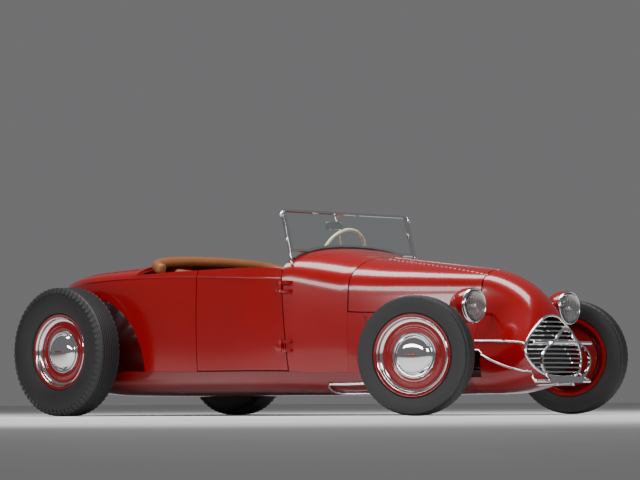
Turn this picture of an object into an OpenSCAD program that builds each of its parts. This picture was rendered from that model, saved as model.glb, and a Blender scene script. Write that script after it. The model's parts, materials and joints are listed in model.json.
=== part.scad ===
// Street rod roadster: open two-seat body, open wheels, shield grille.
// Frame: +X forward, +Y to the driver's left, +Z up, millimetres, wheels on z = 0.

/* [Chassis] */
// Distance between the front and rear axle lines
wheelbase = 2658; // [2450:1:3000]
// Distance between the front wheel centres when they point straight ahead
track_front = 1410; // [1330:1:1500]
// Distance between the rear wheel centres
track_rear = 1443; // [1380:1:1560]
// Angle the front wheels are turned to the left
steer_angle = 18.67; // [0:0.01:24]
// Width of one frame rail
rail_w = 50; // [35:1:70]
// Depth of the frame rails
rail_h = 110; // [80:1:130]

/* [Wheels] */
// Radius of the front tyres
tyre_front_r = 320; // [305:1:340]
// Width of the front tyres
tyre_front_w = 132; // [110:1:150]
// Radius of the rear tyres
tyre_rear_r = 376; // [350:1:400]
// Width of the rear tyres
tyre_rear_w = 178; // [150:1:200]
// Radius of the wheel rim's outer lip
rim_r = 220; // [205:1:235]
// Half of the width between the rim lips
rim_half_w = 57; // [48:1:64]
// Radius of the axle studs that the wheels turn on
spindle_r = 17; // [12:0.5:22]
// How far the kingpins stand inboard of the wheel centres
kingpin_in = 78; // [74:1:100]

/* [Body] */
// Half of the body's width at the doors
body_half_w = 596; // [560:1:625]
// Half of the body's width where the hood meets the cowl
cowl_half_w = 405; // [370:1:430]
// Half of the hood's width at its shoulder where it meets the nose
nose_half_w = 156; // [140:1:180]
// Height of the hood where it meets the cowl
hood_rear_z = 886; // [860:1:910]
// Height of the hood where it meets the nose
hood_front_z = 792; // [770:1:815]
// Height of the cowl under the windshield
cowl_z = 948; // [925:1:970]
// Height of the belly pan above the ground
ground_gap = 110; // [95:1:125]
// Thickness of a whole door
door_t = 42; // [30:1:55]
// Thickness of the fixed walls
wall_t = 22; // [14:1:30]
// Thickness of the hood, the nose shell and the deck lid
sheet_t = 9; // [6:1:14]
// Gap round each door, hood half and lid
shut_gap = 5.5; // [5:0.5:8]
// How far the tail reaches behind the rear axle
tail_len = 520; // [470:1:600]

/* [Windshield] */
// Width of the windshield frame
screen_w = 1046; // [960:1:1090]
// Height of the windshield along its slope
screen_h = 236; // [190:1:280]
// Angle the windshield leans back from upright
screen_lean = 15; // [5:1:25]
// Thickness of the glass
glass_t = 6; // [4:1:8]

/* [Front] */
// Height of the grille's top point
grille_top = 535; // [500:1:560]
// Half of the grille's greatest width
grille_half_w = 236; // [205:1:260]
// Number of horizontal grille bars
grille_bars = 12; // [8:1:14]
// Radius of the headlight buckets
lamp_r = 96; // [80:1:110]
// Distance between the two headlights
lamp_gap = 817; // [740:1:860]
// Thickness of the bumper loop's flat stock
loop_t = 12; // [8:1:16]

/* [Cabin] */
// Radius of the steering wheel's rim
wheel_hand_r = 200; // [175:1:215]
// Width of the bench seat
seat_w = 1060; // [960:1:1080]
// Radius of the padded roll round the cockpit
roll_r = 34; // [24:1:40]

/* [Hidden] */

eps = 0.01;
pin_fit = 0.05;
seat_fit = 0.3;
panel_gap = 0.4;
kingpin_y = track_front / 2 - kingpin_in;
nose_x = wheelbase + 33;
cowl_x = nose_x - 761;
screen_x = cowl_x - 326;
door_front_x = cowl_x - 326;
door_rake = 40;
door_rear_x = door_front_x - 657;
cockpit_back_x = door_rear_x - 517;
grille_x = nose_x + 346;
grille_slope = 0.235;
loop_x = nose_x + 444;
x_front = loop_x + loop_t;
x_mid = (x_front - tail_len) / 2;
belt_z = 795;
sill_z = 252;
tyre_front_z = tyre_front_r;
tyre_rear_z = tyre_rear_r;

// Rows of body sections: station, top height, shoulder half width and height,
// half width halfway down the side, sill half width and height, underside height.
sections = [
    [-700, 850, body_half_w - 34, 760, body_half_w - 22, body_half_w - 46, 262, ground_gap + 14],
    [-200, 862, body_half_w - 32, 772, body_half_w - 22, body_half_w - 36, 262, ground_gap + 6],
    [300, 892, body_half_w - 18, 784, body_half_w - 8, body_half_w - 24, 260, ground_gap],
    [door_rear_x, 925, body_half_w - 8, belt_z, body_half_w, body_half_w - 10, sill_z, ground_gap],
    [door_front_x, cowl_z, body_half_w - 10, 772, body_half_w - 2, body_half_w - 12, 248, ground_gap],
    [cowl_x, hood_rear_z, cowl_half_w - 6, 690, cowl_half_w, cowl_half_w - 10, 236, ground_gap],
    [cowl_x + 370, (hood_rear_z + hood_front_z) / 2, (cowl_half_w + nose_half_w) / 2 - 12, 678,
        (cowl_half_w + nose_half_w) / 2 + 14, (cowl_half_w + nose_half_w) / 2 + 40, 265, ground_gap],
    [nose_x, hood_front_z, nose_half_w, 668, nose_half_w + 42, nose_half_w + 112, 300, ground_gap + 4],
    [nose_x + 400, hood_front_z - 60, nose_half_w - 90, 640, nose_half_w, nose_half_w + 100, 330,
        ground_gap + 8]];

// Grille outline, from its point down one side: share of the way, half width, height.
shield = [
    [0, 0, grille_top],
    [0.5, 0.24 * grille_half_w, grille_top - 10],
    [1, 0.52 * grille_half_w, grille_top - 52],
    [1.5, 0.76 * grille_half_w, grille_top - 100],
    [2, 0.93 * grille_half_w, grille_top - 150],
    [2.5, grille_half_w, grille_top - 200],
    [3, 0.93 * grille_half_w, grille_top - 250],
    [3.4, 0.74 * grille_half_w, grille_top - 298],
    [3.7, 0.42 * grille_half_w, grille_top - 326],
    [4, 0, grille_top - 332]];

// Smooth value of column c of table t at position x (cubic through the rows).
function row_at(t, x, i = 0) = i >= len(t) - 2 || x < t[i + 1][0] ? i : row_at(t, x, i + 1);
function slope(t, i, c) =
    i == 0 ? (t[1][c] - t[0][c]) / (t[1][0] - t[0][0]) :
    i == len(t) - 1 ? (t[i][c] - t[i - 1][c]) / (t[i][0] - t[i - 1][0]) :
    (t[i + 1][c] - t[i - 1][c]) / (t[i + 1][0] - t[i - 1][0]);
function smooth(t, x, c) =
    let (i = row_at(t, x), h = t[i + 1][0] - t[i][0], s = (x - t[i][0]) / h)
    t[i][c] * (2 * pow(s, 3) - 3 * s * s + 1) + slope(t, i, c) * h * (pow(s, 3) - 2 * s * s + s)
    + t[i + 1][c] * (3 * s * s - 2 * pow(s, 3)) + slope(t, i + 1, c) * h * (pow(s, 3) - s * s);

// How much of the full section is left towards the rounded tail.
function tail_round(x) =
    let (d = (60 - x) / (tail_len + 60))
    d <= 0 ? 1 : sqrt(max(0.0001, 1 - d * d));

// Half section at station x: v runs 0 at the top centre, 1 at the shoulder,
// 2 halfway down the side, 3 at the sill and 4 at the bottom centre.
function half_section(x, v) =
    let (
        top = smooth(sections, x, 1), ws = smooth(sections, x, 2), zs = smooth(sections, x, 3),
        wm = smooth(sections, x, 4), wl = smooth(sections, x, 5), zl = smooth(sections, x, 6),
        low = smooth(sections, x, 7), s = (v - 1) / 2,
        arch = 2.3, bilge = 3)
    v < 1 ? [ws * pow(sin(90 * v), 2 / arch), zs + (top - zs) * pow(cos(90 * v), 2 / arch)] :
    v <= 3 ? [ws * (1 - s) * (1 - 2 * s) + wm * 4 * s * (1 - s) + wl * s * (2 * s - 1), zs + (zl - zs) * s] :
    [wl * pow(cos(90 * (v - 3)), 2 / bilge), zl - (zl - low) * pow(sin(90 * (v - 3)), 2 / bilge)];

// Point on the outer skin; v below 0 or above 4 is the right-hand side.
function skin(x, v) =
    let (p = half_section(x, v > 4 ? 8 - v : abs(v)), g = tail_round(x), pole = 520,
        side = v < 0 || v > 4 ? -1 : 1)
    [x, side * p[0] * g, pole + (p[1] - pole) * pow(g, 0.45)];

// Point on the nose: q runs from 0 at the hood seam to 1 at the grille's edge.
function shield_point(v) =
    let (w = min(3.999, v > 4 ? 8 - v : v), y = smooth(shield, w, 1), z = smooth(shield, w, 2))
    [grille_x + (grille_top - z) * grille_slope - 38 * pow(y / grille_half_w, 2), v > 4 ? -y : y, z];
function nose_skin(q, v) =
    let (
        a = skin(nose_x, v), d = shield_point(v),
        lead = (skin(nose_x, v) - skin(nose_x - 20, v)) / 20,
        b = a + 0.3 * (d[0] - a[0]) * [1, lead[1] * 0.6, lead[2] - 0.07],
        c = [d[0] - 0.13 * (d[0] - a[0]), d[1] + 0.45 * (a[1] - d[1]) + 14 * sin(45 * v),
            d[2] + 0.6 * (a[2] - d[2])])
    a * pow(1 - q, 3) + b * 3 * q * pow(1 - q, 2) + c * 3 * q * q * (1 - q) + d * pow(q, 3);

// Inward normal of the body skin and of the nose.
function inward(x, v, nose) =
    let (
        dx = nose ? 0.02 : 4, dv = 0.02,
        x0 = nose ? max(0, x - dx) : x - dx, x1 = nose ? min(1, x + dx) : x + dx,
        v0 = nose && v < dv ? v : v - dv,
        along = nose ? nose_skin(x1, v) - nose_skin(x0, v) : skin(x1, v) - skin(x0, v),
        across = nose ? nose_skin(x, v + dv) - nose_skin(x, v0) : skin(x, v + dv) - skin(x, v0),
        n = cross(across, along))
    n / norm(n);

function span(a, b, n) = [for (i = [0:n]) a + (b - a) * i / n];

// The door's front edge leans forward towards the sill.
door_top_v = 0.86;
function lean_at(v) = door_rake * max(0, (abs(v) - door_top_v) / (3 - door_top_v));
function grid_point(xs, vs, i, j, lean) =
    let (s = i / (len(xs) - 1))
    xs[i] + lean_at(vs[j]) * (lean == "front" ? s : lean == "rear" ? 1 - s : 0);

// Closed sheet of constant thickness between stations xs and section places vs.
// lean names the end, if any, that follows the door's leaning edge.
module sheet(xs, vs, t, lean = "none", nose = false, ring = false) {
    nx = len(xs);
    nv = len(vs);
    last = ring ? nv - 1 : nv - 2;
    outer = [for (i = [0:nx - 1]) for (j = [0:nv - 1])
        let (x = grid_point(xs, vs, i, j, lean))
        nose ? nose_skin(x, vs[j]) : skin(x, vs[j])];
    inner = [for (i = [0:nx - 1]) for (j = [0:nv - 1])
        let (x = grid_point(xs, vs, i, j, lean), p = outer[i * nv + j])
        p + t * inward(x, vs[j], nose)];
    n = nx * nv;
    edges = ring ? [] : concat(
        [for (i = [0:nx - 2]) let (a = i * nv)
            each [[a, n + a, n + a + nv], [a, n + a + nv, a + nv]]],
        [for (i = [0:nx - 2]) let (a = i * nv + nv - 1)
            each [[a, a + nv, n + a + nv], [a, n + a + nv, n + a]]]);
    faces = concat(
        [for (i = [0:nx - 2]) for (j = [0:last])
            let (a = i * nv + j, b = i * nv + (j + 1) % nv)
            each [[a, a + nv, b + nv], [a, b + nv, b]]],
        [for (i = [0:nx - 2]) for (j = [0:last])
            let (a = n + i * nv + j, b = n + i * nv + (j + 1) % nv)
            each [[a, b + nv, a + nv], [a, b, b + nv]]],
        [for (j = [0:last]) let (k = (j + 1) % nv) each [[j, k, n + k], [j, n + k, n + j]]],
        [for (j = [0:last]) let (a = (nx - 1) * nv + j, b = (nx - 1) * nv + (j + 1) % nv)
            each [[a, n + a, n + b], [a, n + b, b]]],
        edges);
    translate([-x_mid, 0, 0]) polyhedron(concat(outer, inner), [for (f = faces) [f[2], f[1], f[0]]],
        convexity = 10);
}

// Moves a piece from the rear axle's foot into the part's own frame.
module car() { translate([-x_mid, 0, 0]) children(); }
module both_sides() { children(); mirror([0, 1, 0]) children(); }

// Stations round the tail, evenly spaced in angle.
function tail_at(k) = 60 - (tail_len + 60) * sin(90 - 10 * k);
tail_arc = [for (k = [1:9]) tail_at(k)];
pan_vs = span(3.0003, 4.9997, 20);
pan_xs = concat(tail_arc, span(100, nose_x - seat_fit, 18));
hood_v = 1.5;
lid_v = 0.62;
lid_front_x = cockpit_back_x - 60;
lid_rear_x = -300;
hinge_pin_r = 5;
barrel_r = 7;
slot_z0 = 205;
slot_z1 = 352;
rail_y = 150;
floor_z = 268;
rail_rear_y = 360;
rail_z = ground_gap + 24;

module axle_slots() {
    car() translate([wheelbase - 215, -700, slot_z0]) cube([320, 1400, slot_z1 - slot_z0]);
}

module frame_rails() {
    color("firebrick") car() difference() {
        rails_and_towers();
        translate([nose_x - 50, -300, 0]) cube([400, 600, rail_z + 24]);
    }
}
module rails_and_towers() {
        both_sides() translate([0, 0, rail_z]) linear_extrude(rail_h)
            polygon([[-60, rail_rear_y - 70], [700, rail_rear_y], [1500, rail_rear_y],
                [2300, rail_y], [nose_x + 89, rail_y], [nose_x + 89, rail_y - rail_w], [2300, rail_y - rail_w],
                [1500, rail_rear_y - rail_w], [700, rail_rear_y - rail_w],
                [-60, rail_rear_y - 70 - rail_w]]);
        for (x = [-60, 620, 1460, nose_x + 39])
            let (half = x > 2000 ? rail_y : x < 0 ? rail_rear_y - 70 : rail_rear_y)
            translate([x, -half + rail_w / 2, rail_z + 20]) cube([50, 2 * half - rail_w, rail_h - 40]);
        // front spring tower
        both_sides() translate([wheelbase + 45, rail_y - rail_w, rail_z + rail_h - eps])
            cube([30, rail_w, 370 - rail_z - rail_h]);
        translate([wheelbase - 30, -rail_y, 352]) cube([105, 2 * rail_y, 40]);
        // rear spring tower
        both_sides() translate([60, 262, rail_z + rail_h - eps])
            cube([36, rail_w, 490 - rail_z - rail_h]);
        translate([-30, -312, 470]) cube([126, 624, 40]);
        // body mounts
        for (x = [660, 1480]) both_sides() translate([x, rail_rear_y - rail_w, rail_z + rail_h - eps])
            cube([60, rail_w, floor_z - rail_z - rail_h - seat_fit]);
}

module belly_pan() {
    color("darkred") difference() {
        pan_sheet();
        axle_slots();
    }
}
module pan_sheet(x0 = -1000, x1 = 9000) {
    sheet([for (x = pan_xs) if (x > x0 && x < x1) x], pan_vs, 3);
}

// Blunt end of the tail, closing the ring left by the panels.
module tail_cap() {
    ring = concat(pan_vs, [lid_v + 0.03], span(door_top_v, 3, 13), span(-3, -door_top_v, 13), [-lid_v - 0.03],
        span(-lid_v - 0.0294, lid_v + 0.0294, 14));
    color("firebrick") car() hull() polyhedron(concat(
        [for (v = ring) skin(tail_arc[0], v)],
        [for (k = [0.7, 0.4, 0.15]) for (v = ring) skin(tail_at(k), v)]),
        [for (i = [0:4 * len(ring) - 3]) [i, i + 1, i + 2]]);
}

module cowl_sheet() {
    sheet(span(door_front_x, cowl_x - panel_gap, 9), span(-3, 3, 44), wall_t, lean = "rear");
}
module cowl() { color("firebrick") cowl_sheet(); }

module hood_side(side) {
    color("firebrick") difference() {
        sheet(span(cowl_x + panel_gap, nose_x - seat_fit, 14), side > 0 ? span(hood_v + 0.022, 3, 8)
            : span(-3, -hood_v - 0.022, 8), sheet_t);
        axle_slots();
    }
}
module hood_side_right() { hood_side(-1); }
module hood_side_left() { hood_side(1); }

hinge_low = skin(nose_x, 0.001)[2];
hinge_high = skin(cowl_x, 0.001)[2];
hinge_sink = 4.5;
hinge_drop = atan((hinge_high - hinge_low) / (nose_x - cowl_x));
module hood_hinge() {
    color("firebrick") car() translate([cowl_x, 0, hinge_high - hinge_sink]) rotate([0, 90 + hinge_drop, 0])
        cylinder(r = barrel_r, h = (nose_x - cowl_x) / cos(hinge_drop) - 1, $fn = 40);
}

module hood_half(side) {
    edge = 0.005;
    color("firebrick") difference() {
        sheet(span(cowl_x + shut_gap, nose_x - shut_gap, 16),
            side > 0 ? span(edge, hood_v - 0.005, 16) : span(0.005 - hood_v, -edge, 16), sheet_t);
        car() translate([cowl_x - 20, 0, hinge_high - hinge_sink + 20 * tan(hinge_drop)])
            rotate([0, 90 + hinge_drop, 0]) cylinder(r = barrel_r + seat_fit, h = 820, $fn = 40);
        car() translate([cowl_x - 20, -7.1, hood_front_z - 60]) cube([820, 14.2, 200]);
    }
}
module hood_right() { hood_half(-1); }
module hood_left() { hood_half(1); }

module nose_shell() {
    color("firebrick") difference() {
        sheet(span(0.004, 1, 16), span(0, 7.875, 63), sheet_t, nose = true, ring = true);
        axle_slots();
        car() for (y = [-70, 70]) translate([nose_x + 80, y - 13, bracket_z - 3]) cube([500, 26, 64]);
    }
}

// Tube of radius r with 8 sides along a list of points; closed joins its ends.
function unit(a) = a / norm(a);
function tangent(p, i, closed) =
    let (n = len(p))
    unit(closed ? p[(i + 1) % n] - p[(i + n - 1) % n] : p[min(n - 1, i + 1)] - p[max(0, i - 1)]);
module tube(p, r, closed = false, up = [1, 0, 0], sides = 8) {
    n = len(p);
    pts = [for (i = [0:n - 1]) for (k = [0:sides - 1])
        let (t = tangent(p, i, closed), a = unit(cross(t, up)), b = cross(t, a), w = 360 * k / sides)
        p[i] + r * (a * cos(w) + b * sin(w))];
    last = closed ? n - 1 : n - 2;
    walls = [for (i = [0:last]) for (k = [0:sides - 1])
        let (a = i * sides + k, b = i * sides + (k + 1) % sides,
            c = ((i + 1) % n) * sides + (k + 1) % sides, d = ((i + 1) % n) * sides + k)
        each [[a, c, b], [a, d, c]]];
    caps = closed ? [] : [[for (k = [0:sides - 1]) k],
        [for (k = [sides - 1:-1:0]) (n - 1) * sides + k]];
    polyhedron(pts, concat(walls, caps), convexity = 8);
}

// Half width of the grille opening at height z, found along the outline.
function shield_half(z, w = 0) = w >= 4 ? 0 :
    smooth(shield, w, 2) >= z && smooth(shield, w + 0.1, 2) < z ?
        smooth(shield, min(3.99, w + 0.05), 1) : shield_half(z, w + 0.1);
function grille_bow(y) = -38 * pow(y / grille_half_w, 2);
function grille_face(z) = grille_x + (grille_top - z) * grille_slope;
bar_h = 8;
grille_tube_r = 8;
bar_pitch = 300 / (grille_bars + 0.2);

module grille_bar(z) {
    half = shield_half(z + bar_h / 2) - 2;
    front = [for (y = span(-half, half, 8)) [grille_face(z) + grille_bow(y) + 11, y]];
    back = [for (y = span(half, -half, 8)) [grille_face(z) + grille_bow(y) + 0.5, y]];
    translate([0, 0, z]) linear_extrude(bar_h) polygon(concat(front, back));
}

module grille() {
    color("silver") car() {
        tube([for (v = [0:0.125:7.875]) shield_point(v) + [grille_tube_r + 0.8, 0, 0]],
            grille_tube_r, closed = true);
        for (k = [1:grille_bars]) grille_bar(grille_top - 14 - k * bar_pitch);
    }
}

// Outline of the bumper loop's loop, from its top down one side.
loop_rows = [[0, 0, 470], [0.4, 34, 458], [1, 92, 407], [2, 178, 352], [2.7, 212, 305],
    [3.4, 200, 248], [4, 142, 188]];
loop_w = 13;
function loop_point(w) = w <= 4 ? [smooth(loop_rows, min(3.999, w), 1), smooth(loop_rows, min(3.999, w), 2)]
    : [-loop_point(8 - w)[0], loop_point(8 - w)[1]];
function loop_in(w) =
    let (centre = [0, 320], p = loop_point(w)) centre + (p - centre) * (1 - loop_w / norm(p - centre));
plate_z = 171;
bracket_z = 156;
module bumper_loop() {
    ws = span(0, 7.875, 63);
    color("silver") car() {
        translate([loop_x, 0, 0]) rotate([90, 0, 90]) linear_extrude(loop_t) difference() {
            polygon([for (w = ws) loop_point(w)]);
            polygon([for (w = ws) loop_in(w)]);
        }
        translate([loop_x, -142, plate_z]) cube([loop_t, 284, 34]);
        for (b = [[387, 248], [181, 234]]) translate([loop_x - 16, 0, b[0]]) rotate([90, 0, 0])
            cylinder(r = 9, h = 2 * b[1], center = true, $fn = 32);
        for (y = [-70, 70]) translate([nose_x + 89, y - 10, bracket_z]) cube([loop_x - nose_x - 89 + eps, 20, 22]);
        for (y = [-123, 123]) translate([loop_x - 16, y - 9, 387 - 5]) cube([16 + eps, 18, 10]);
        for (y = [-70, 70]) translate([loop_x - 30, y - 10, bracket_z]) cube([30 + eps, 20, 40]);
    }
}

// Side outline of the rear wheel arch: part of an ellipse over the sill.
arch_x = 60;
arch_z = 250;
arch_rx = 450;
arch_rz = 440;
housing_y = 428;
arch_rear_x = -285;
module arch_outline(grow, low) {
    intersection() {
        translate([arch_x, arch_z]) polygon(concat([for (w = [0:7.5:180])
            [(arch_rx + grow) * cos(w), (arch_rz + grow) * sin(w)]],
            [[-arch_rx - grow, -200], [arch_rx + grow, -200]]));
        translate([arch_rear_x - grow, low]) square([2000, 1000]);
    }
}
module rear_arch(side) {
    car() translate([0, side > 0 ? 700 : -housing_y - 10, 0]) rotate([90, 0, 0])
        linear_extrude(260) arch_outline(0, 200);
}
function inner_limit(x) = min([for (v = [1.1, 2, 2.95]) skin(x, v)[1]]) - wall_t - 9;
module wheel_housings() {
    xs = span(arch_rear_x - 12, arch_x + arch_rx + 10, 10);
    color("darkred") car() both_sides() {
        intersection() {
            union() {
                translate([0, 620, 0]) rotate([90, 0, 0]) linear_extrude(620 - housing_y) difference() {
                    arch_outline(8, sill_z + 4);
                    arch_outline(0, sill_z - 50);
                }
                translate([0, housing_y + eps, 0]) rotate([90, 0, 0]) linear_extrude(8) difference() {
                    arch_outline(8, sill_z + 4);
                    translate([0, tyre_rear_z]) circle(r = 62);
                }
            }
            translate([0, 0, 100]) linear_extrude(900) polygon(concat(
                [for (x = xs) [x, inner_limit(x)]],
                [[arch_x + arch_rx + 10, housing_y - 8.5], [arch_rear_x - 12, housing_y - 8.5]]));
        }
    }
}

module quarter(side) {
    top_v = side > 0 ? span(door_top_v, 3, 13) : span(-3, -door_top_v, 13);
    deck_v = [lid_v + 0.03, (lid_v + 0.03 + door_top_v) / 2];
    vs = side > 0 ? concat(deck_v, top_v) : concat(top_v, [-deck_v[1], -deck_v[0]]);
    color("firebrick") difference() {
        union() {
            sheet(concat(tail_arc, span(130, cockpit_back_x, 6)), vs, wall_t);
            sheet(span(cockpit_back_x, door_rear_x - shut_gap, 7), top_v, wall_t);
        }
        rear_arch(side);
    }
}
module quarter_right() { quarter(-1); }
module quarter_left() { quarter(1); }

lid_axis_x = lid_front_x + 5;
lid_axis_z = skin(lid_front_x, 0.001)[2] - 8;
module lid_barrel(r, h) {
    car() translate([lid_axis_x, 0, lid_axis_z]) rotate([90, 0, 0])
        cylinder(r = r, h = h, center = true, $fn = 40);
}
module deck_surround() {
    color("firebrick") {
        difference() {
            sheet(span(lid_axis_x + 5.2, cockpit_back_x, 4),
                span(-lid_v - 0.0294, lid_v + 0.0294, 14), wall_t);
            lid_barrel(barrel_r + seat_fit, 301);
        }
        sheet([for (x = tail_arc) if (x < lid_rear_x - 10) x],
            span(-lid_v - 0.0294, lid_v + 0.0294, 14), wall_t);
    }
}
module deck_hinge() { color("firebrick") lid_barrel(barrel_r, 300); }
module deck_lid() {
    color("firebrick") difference() {
        sheet(span(lid_rear_x + 2, lid_front_x + 1, 14), span(0.004 - lid_v, lid_v - 0.004, 14),
            sheet_t);
        lid_barrel(barrel_r + seat_fit, 301);
    }
}

// Doors swing on two outside hinges each, pins upright.
door_pin_x = door_front_x + 4;
hinge_skin_y = max([for (x = span(door_front_x, door_front_x + 70, 7)) for (v = span(1, 2.8, 9)) skin(x, v)[1]]);
door_pin_y = hinge_skin_y + seat_fit + 9;
hinge_zs = [388, 715];
knuckle_r = 9;
// Half width of the cowl at height z, less half its wall, where the hinge leaves are fixed.
function pad_foot(z) =
    let (x = door_pin_x + 50, zs = smooth(sections, x, 3), zl = smooth(sections, x, 6))
    half_section(x, 1 + 2 * (zs - z) / (zs - zl))[0] - wall_t / 2;
module door_hinges() {
    color("firebrick") car() both_sides() for (z = hinge_zs) {
        translate([door_pin_x, door_pin_y, z]) {
            cylinder(r = hinge_pin_r, h = 66, center = true, $fn = 32);
            for (k = [-1, 1]) translate([0, 0, k * 23])
                cylinder(r = knuckle_r, h = 20, center = true, $fn = 32);
            for (k = [-33, 13]) translate([0, -9, k]) cube([62, 7, 20]);
        }
    }
    color("firebrick") difference() {
        car() both_sides() for (z = hinge_zs) for (k = [-33, 13])
            translate([door_pin_x + 34, pad_foot(z + k + 10), z + k])
                cube([28, door_pin_y - 4 - pad_foot(z + k + 10), 20]);
        cowl_sheet();
    }
}
module door_shape() {
    color("firebrick") difference() {
        union() {
            sheet(span(door_rear_x, door_front_x - shut_gap, 12), span(door_top_v, 2.98, 12), door_t,
                lean = "front");
            car() for (z = hinge_zs) translate([door_pin_x - 40, hinge_skin_y - 12, z - 12.5])
                cube([36 - shut_gap, door_pin_y - hinge_skin_y + 12, 25]);
            car() for (z = hinge_zs) translate([door_pin_x - 20, hinge_skin_y + 2, z - 12.5])
                cube([20, door_pin_y - hinge_skin_y - 2, 25]);
            car() for (z = hinge_zs) translate([door_pin_x, door_pin_y, z])
                cylinder(r = knuckle_r, h = 25, center = true, $fn = 32);
        }
        car() for (z = hinge_zs) translate([door_pin_x, door_pin_y, z])
            cylinder(r = hinge_pin_r + pin_fit, h = 80, center = true, $fn = 32);
    }
}
module door_right() { mirror([0, 1, 0]) door_shape(); }
module door_left() { door_shape(); }

// Cabin
bulkhead_x = arch_x + arch_rx + 7.2;
module cabin_floor() {
    color("dimgray") car() {
        translate([bulkhead_x, -500, floor_z]) cube([cowl_x - 320 - bulkhead_x, 1000, 14]);
        translate([bulkhead_x, -340, floor_z]) cube([cowl_x - 60 - seat_fit - bulkhead_x, 680, 14]);
        translate([bulkhead_x, -500, floor_z + 13]) cube([14, 1000, 480]);
    }
}
module seat_cushion() {
    color("peru") car() translate([door_rear_x - 150, -seat_w / 2 + 40, floor_z + 14.3])
        cube([520, seat_w - 80, 190]);
}
module seat_back() {
    color("peru") car() translate([0, seat_w / 2 - 40, 0]) rotate([90, 0, 0]) linear_extrude(seat_w - 80)
        polygon([[door_rear_x - 152, floor_z + 14.3], [door_rear_x - 152, floor_z + 210],
            [door_rear_x - 205, 850], [door_rear_x - 330, 868], [door_rear_x - 310, floor_z + 14.3]]);
}
// Centre line of the padded roll round the back of the cockpit.
function roll_point(s) =
    let (y = (body_half_w - 50) * sin(90 * s), x = cockpit_back_x + 48 + 150 * pow(abs(s), 3),
        z = skin(cockpit_back_x, 0.02)[2] + 5.5 - 61 * pow(abs(s), 2.2))
    [x, y, z];
module padded_roll() {
    color("peru") car() tube([for (s = span(-1, 1, 28)) roll_point(s)], roll_r, up = [0, 0, 1]);
}
// Flat wall across the body at station x, inside the fixed panels, down to height low.
module cross_wall(x, t, low) {
    vs = span(-2.98, 2.98, 40);
    translate([x, 0, 0]) rotate([90, 0, 90]) linear_extrude(t) intersection() {
        polygon([for (v = vs) let (p = skin(x + t, v) + (wall_t + 3) * inward(x + t, v, false)) [p[1], p[2]]]);
        translate([-1000, low]) square([2000, 1000]);
    }
}
module dashboard() {
    color("firebrick") car() difference() {
        union() {
            cross_wall(door_front_x + 46, 14, 640);
            cross_wall(cowl_x - 60, 6, floor_z);
        }
        translate([x_mid, 0, 0]) cowl_sheet();
        translate([hand_x, hand_y, hand_z]) rotate([0, 90 + column_slope, 0])
            cylinder(r = column_r + seat_fit, h = 1000, $fn = 48);
    }
}

// Windshield: frame, glass and posts share one leaning plane.
screen_foot_x = screen_x + 12;
screen_foot_z = 925;
frame_d = 18;
module on_screen() { car() translate([screen_foot_x, 0, screen_foot_z]) rotate([0, -screen_lean, 0]) children(); }
// Height of the cowl's top above the windshield's foot, at half width y.
function cowl_rise(y) =
    let (x = screen_foot_x - 2, ws = smooth(sections, x, 2), v = asin(pow(y / ws, 1.15)) / 90)
    (skin(x, max(v, 0.001))[2] - screen_foot_z) / cos(screen_lean) + 3.3;
module screen_outline(in) {
    w = screen_w / 2 - in;
    polygon(concat([[w, screen_h - in], [-w, screen_h - in]],
        [for (k = span(-1, 1, 16)) [w * k, in + max(-10, cowl_rise(abs(w * k)))]]));
}
module windshield_frame() {
    color("silver") on_screen() rotate([90, 0, 90]) translate([0, 0, -frame_d / 2]) difference() {
        linear_extrude(frame_d) screen_outline(0);
        translate([0, 0, -1]) linear_extrude(frame_d + 2) screen_outline(14);
    }
}
module windshield_glass() {
    color("lightblue", 0.3) on_screen() rotate([90, 0, 90]) translate([0, 0, -glass_t / 2])
        linear_extrude(glass_t) screen_outline(14.3);
}
post_foot_v = 0.76;
module windshield_posts() {
    foot = skin(screen_foot_x + 26, post_foot_v);
    out = -inward(screen_foot_x + 26, post_foot_v, false);
    color("silver") both_sides() {
        on_screen() translate([-9, screen_w / 2 + seat_fit, -18]) cube([18, 12, screen_h + 12]);
        on_screen() translate([0, screen_w / 2 + seat_fit, screen_h - 30]) rotate([-90, 0, 0])
            cylinder(r = 12, h = 24);
        car() tube([[screen_foot_x + 3, screen_w / 2 + 8, screen_foot_z - 14],
            [screen_foot_x + 8, screen_w / 2 + 15, screen_foot_z - 34],
            foot + 14 * out, foot + 0.9 * out], 9, up = [0, 1, 0]);
    }
}
module mirror_plate() {
    color("silver") on_screen() {
        translate([-46, -70, screen_h - 66]) cube([8, 140, 46], center = true);
        translate([-46, -40, screen_h - 44]) cylinder(r = 5, h = 34);
        translate([-50, -48, screen_h - 13]) cube([41 - seat_fit, 16, 10]);
    }
}

// Headlights
lamp_x = nose_x + 155;
lamp_z = 587;
// Half width of the nose shell near station x0 and height z0, by a search over its skin.
function nose_y(x0, z0) = let (
    tries = [for (q = [0:0.01:0.6]) for (v = [1:0.02:3]) let (p = nose_skin(q, v))
        [pow(p[0] - x0, 2) + pow(p[2] - z0, 2), p[1]]],
    best = min([for (t = tries) t[0]]))
    [for (t = tries) if (t[0] == best) t[1]][0];
lamp_arm_r = 10;
lamp_arm = lamp_gap / 2 - seat_fit
    - max([for (k = [-1, 1]) nose_y(lamp_x - 70 + k * lamp_arm_r, lamp_z - 40 - lamp_arm_r)]);
bucket_l = 150;
module headlight(side) {
    color("firebrick") car() translate([lamp_x, side * lamp_gap / 2, lamp_z]) {
        rotate([0, -90, 0]) rotate_extrude($fn = 64) polygon(concat([[0, 0], [lamp_r - 8, 0], [lamp_r, 4]],
            [for (a = [0:9:90]) [lamp_r * cos(a), 26 + (bucket_l - 26) * sin(a)]]));
        translate([-70, 0, -40]) rotate([90 * side, 0, 0]) cylinder(r = lamp_arm_r, h = lamp_arm, $fn = 32);
    }
}
module headlight_right() { headlight(-1); }
module headlight_left() { headlight(1); }

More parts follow.
